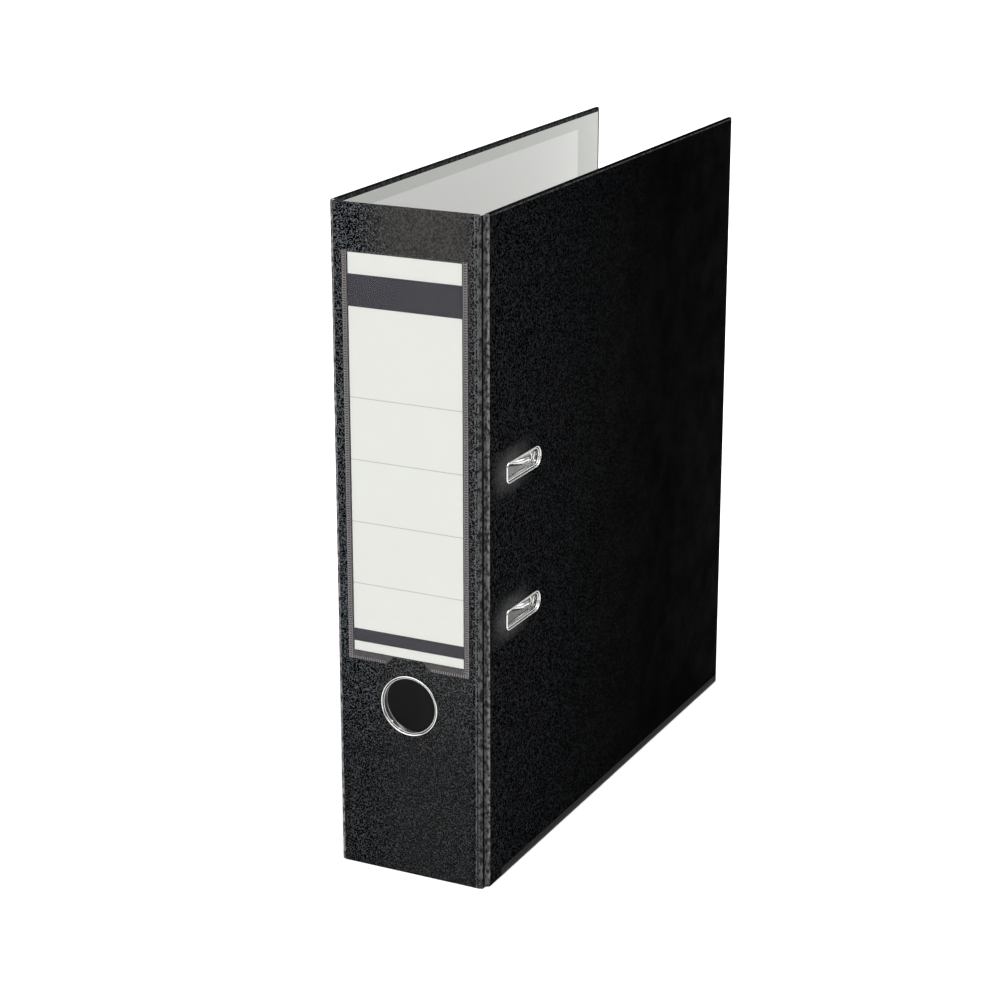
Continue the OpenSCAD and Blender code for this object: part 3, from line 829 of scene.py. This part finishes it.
def make_finger_ring():
    """The bright ring of the finger hole, with its flange inside the spine."""
    profile = eyelet_profile(0.85, RING_BEAD_W, SPINE_FACE - RING_LOW.y, PANEL_T,
                             3.6, WASHER_HIGH.y - SPINE_INSIDE)
    ring = swept_loop("finger_ring_rim", circle_outline(RING_OUT_R, 128), profile,
                      lambda u, v, h: (u, SPINE_FACE - h, RING_MID_Z + v), 50)
    dress(ring, "spine", CHROME, "chrome", "finger_ring", "finger_ring_washer")


NOTCH_TOP_W, NOTCH_BOTTOM_W, NOTCH_H = 16.0, 23.0, 3.4
FILM_T = 0.16
TICK_PITCH, TICK_W, TICK_L, TICK_H = 1.15, 0.5, 1.35, 0.08
BEAD_W = 0.32


def along_spine(u, v, h):
    """Places an outline of (X, Z) at a depth."""
    return u, h, v


def make_label():
    """The film with its milky borders and welded ribs, and the card behind it."""
    film_low, film_high = POCKET_LOW.y, POCKET_LOW.y + FILM_T
    half = POCKET_HIGH.x
    notch = [(-NOTCH_BOTTOM_W / 2, POCKET_LOW.z), (-NOTCH_TOP_W / 2, POCKET_LOW.z + NOTCH_H)]
    outline = [(-half, POCKET_LOW.z), *notch, *((-x, z) for x, z in reversed(notch)),
               (half, POCKET_LOW.z), (half, POCKET_HIGH.z), (-half, POCKET_HIGH.z)]
    film = prism("pocket_film", outline, along_spine, film_low, film_high)
    dress(film, "spine", FILM, "clear_film", "label_pocket")
    inner_x, inner_z = LABEL_LOW.x - 0.3, LABEL_LOW.z - 0.2
    border_outline = [(-half, POCKET_LOW.z), *notch, (-NOTCH_TOP_W / 2, inner_z), (inner_x, inner_z),
                      (inner_x, POCKET_HIGH.z), (-half, POCKET_HIGH.z)]
    for name, side in (("pocket_border_left", 1), ("pocket_border_right", -1)):
        border = prism(name, [(side * u, v) for u, v in border_outline], along_spine,
                       film_low - 0.04, film_high + 0.2)
        dress(border, "spine", BORDER, "clear_film")
    ticks = []
    count = int((POCKET_HIGH.z - POCKET_LOW.z) / TICK_PITCH)
    for side in (-1, 1):
        x_mid = side * (half - TICK_L / 2 - BEAD_W)
        for i in range(count):
            z = POCKET_LOW.z + (i + 0.5) * TICK_PITCH
            ticks.append(rounded_box("tick", (x_mid - TICK_L / 2, film_low - TICK_H, z - TICK_W / 2),
                                     (x_mid + TICK_L / 2, film_low + 0.05, z + TICK_W / 2), 0.06, 1))
        run = half - NOTCH_BOTTOM_W / 2
        for i in range(int(run / TICK_PITCH)):
            x = side * (half - (i + 0.5) * TICK_PITCH)
            ticks.append(rounded_box("tick", (x - TICK_W / 2, film_low - TICK_H, POCKET_LOW.z + 0.1),
                                     (x + TICK_W / 2, film_low + 0.05, POCKET_LOW.z + 0.1 + TICK_L), 0.06, 1))
    for side in (-1, 1):
        for x in (side * (half - BEAD_W), side * (half - TICK_L - 2 * BEAD_W)):
            ticks.append(rounded_box("bead", (x - BEAD_W / 2, film_low - TICK_H, POCKET_LOW.z + 0.1),
                                     (x + BEAD_W / 2, film_low + 0.05, POCKET_HIGH.z - 0.05), 0.06, 1))
    welds = joined("pocket_welds", ticks)
    dress(welds, "spine", WELD, "clear_film")
    card = rounded_box("label_card_face", LABEL_LOW, LABEL_HIGH, 0.04, 1)
    dress(card, "label", LABEL, "label", "label_card")


# ---- mechanism ----

def make_wire():
    """The arch wire as the one bent wire that it is."""
    arch_low, arch_high = node_box("upper_arch")
    rod_low, rod_high = node_box("arch_rod")
    post_low, post_high = node_box("upper_post")
    radius = (rod_high.x - rod_low.x) / 2
    rod_x, rod_y = (rod_low.x + rod_high.x) / 2, (rod_low.y + rod_high.y) / 2
    post_y, post_z = (post_low.y + post_high.y) / 2, (post_low.z + post_high.z) / 2 - MECH_Z
    crown_top = arch_high.x - radius
    leg_z = (SLOT_LOW.z + SLOT_HIGH.z - LOWER_SLOT_LOW.z - LOWER_SLOT_HIGH.z) / 4
    tip_x = post_high.x + 0.2
    crown_r = (post_y - rod_y) / 2
    upper = [(tip_x, post_y, post_z), (tip_x + 3.4, post_y, post_z),
             (crown_top - crown_r - 1.2, post_y, leg_z), (crown_top, post_y, leg_z),
             (crown_top, rod_y, leg_z), (rod_x, rod_y, leg_z)]
    corners = upper + [(x, y, -z) for x, y, z in reversed(upper)]
    corners = [(x, y, MECH_Z + z) for x, y, z in corners]
    bends = [4, 3, crown_r, crown_r - 0.001, 4]
    path = filleted_path(corners, bends + bends[::-1])
    dress(wire("arch_wire", path, radius), "arches", CHROME, "chrome", "arch_rod", "upper_arch", "lower_arch")


POST_FOOT_R, POST_R, POST_FOOT_H = 2.5, 2.3, 8.0
PLATE_T = 1.2


def make_posts():
    """The filing posts: a riveted foot, a collar on the base plate, and a stem with a rounded tip."""
    for name in ("upper_post", "lower_post"):
        low, high = node_box(name)
        y, z = (low.y + high.y) / 2, (low.z + high.z) / 2
        base = low.x
        collar = high.y - y
        length = high.x - base
        profile = [(0, 0), (0, 1.9), (PLATE_T, 1.9), (PLATE_T, collar), (PLATE_T + 0.8, collar),
                   (PLATE_T + 1.1, collar - 0.35), (PLATE_T + 1.3, collar - 0.95),
                   (PLATE_T + 1.9, POST_FOOT_R),
                   (POST_FOOT_H, POST_FOOT_R), (POST_FOOT_H + 0.4, POST_R),
                   (length - 1.6, POST_R), (length - 1.0, 2.2), (length - 0.35, 2.0),
                   (length, 1.6), (length, 0)]
        post = turned(name + "_turned", (base, y, z), (1, 0, 0), profile)
        dress(post, "back_cover", CHROME, "chrome", name)


def make_rivets():
    """Four hollow rivets: a domed head outside, a shank, and a rolled rim on the base plate."""
    low, high = node_box("base_plate_rivets")
    rivets = []
    head_r = 4.4
    length = high.x - low.x
    for y in (low.y + head_r, high.y - head_r):
        for z in (low.z + head_r, high.z - head_r):
            depth = -PANEL_OUT - low.x
            head = [(0.02, 0), (0.05, 1.6), (0.16, 2.6), (0.36, 3.6), (0.62, 4.2), (depth, head_r)]
            rolled = [(1.0, 3.5), (0.55, 3.3), (0.1, 2.7), (0, 2.2), (0.3, 1.7), (0.9, 1.5), (0.9, 0)]
            shank = [(depth + 0.05, 2.2), (length - 1.0, 2.2)]
            dome = head + shank + [(length - down, r) for down, r in rolled]
            rivets.append(turned("rivet", (low.x, y, z), (1, 0, 0), dome))
    dress(joined("hollow_rivets", rivets), "back_cover", CHROME, "chrome", "base_plate_rivets")


def finish_cad(name, material, bevel=0.22):
    """Gives a CAD node its material and softens its edges."""
    node = frame["nodes"][name]
    node.data.materials.clear()
    node.data.materials.append(material)
    if bevel:
        modifier = node.modifiers.new("edges", "BEVEL")
        modifier.width = bevel * MM
        modifier.segments = 2
        modifier.limit_method = "ANGLE"
        modifier.angle_limit = math.radians(40)
        modifier.harden_normals = True


def dress_cad():
    for name in ("base_plate", "lever"):
        finish_cad(name, PRESSED)
    for name in ("lever_pin", "arch_crank", "roller_pin", "spring_rivet", "compressor_bar"):
        finish_cad(name, PRESSED, 0.15)
    finish_cad("opening_spring", SPRING, 0.1)
    finish_cad("roller", BLACK, 0.3)
    finish_cad("compressor_bushes", BLACK, 0.4)


make_covers()
make_linings()
make_hinges()
make_protectors()
make_eyelets()
make_finger_ring()
make_label()
make_wire()
make_posts()
make_rivets()
dress_cad()


# ---- stage, light and camera ----

FLOOR_HALF = 40.0


def make_floor():
    mesh = bpy.data.meshes.new("floor")
    corners = [(-1, -1), (1, -1), (1, 1), (-1, 1)]
    mesh.from_pydata([(FLOOR_HALF * x, FLOOR_HALF * y, 0) for x, y in corners], [], [(0, 1, 2, 3)])
    floor = bpy.data.objects.new("floor", mesh)
    floor.data.materials.append(floor_material())
    bpy.context.scene.collection.objects.link(floor)


def sun(name, towards, strength, softness):
    """Even soft light from one side: towards points from the file to the light."""
    light = bpy.data.lights.new(name, "SUN")
    light.energy = strength
    light.angle = math.radians(softness)
    obj = bpy.data.objects.new(name, light)
    obj.rotation_euler = Vector(towards).to_track_quat("Z", "Y").to_euler()
    bpy.context.scene.collection.objects.link(obj)


def make_lights():
    """A white surround and two broad lights, from the front left and from the right."""
    world = bpy.data.worlds.new("studio")
    world.use_nodes = True
    world.node_tree.nodes["Background"].inputs["Color"].default_value = (1, 1, 1, 1)
    world.node_tree.nodes["Background"].inputs["Strength"].default_value = 0.6
    bpy.context.scene.world = world
    sun("key", (-0.40, -0.58, 0.78), 3.2, 70)
    sun("right", (0.60, 0.10, 0.86), 2.9, 60)


# The camera's place in metres, its turn and tilt in degrees, its focal length in widths of the picture
CAMERA_PLACE = (0.5135, -0.9454 + SPINE_FACE * MM, 0.5320)
CAMERA_YAW = -26.29
CAMERA_PITCH = 17.88
CAMERA_FOCAL = 2.518


def make_camera():
    camera = bpy.data.objects.new("camera", bpy.data.cameras.new("camera"))
    camera.data.sensor_width = 36
    camera.data.lens = CAMERA_FOCAL * 36
    yaw, pitch = math.radians(CAMERA_YAW), math.radians(CAMERA_PITCH)
    forward = Vector((math.sin(yaw) * math.cos(pitch), math.cos(yaw) * math.cos(pitch), -math.sin(pitch)))
    camera.location = CAMERA_PLACE
    camera.rotation_euler = forward.to_track_quat("-Z", "Y").to_euler()
    bpy.context.scene.collection.objects.link(camera)
    bpy.context.scene.camera = camera


make_floor()
make_lights()
make_camera()
bpy.context.scene.view_settings.view_transform = "Standard"
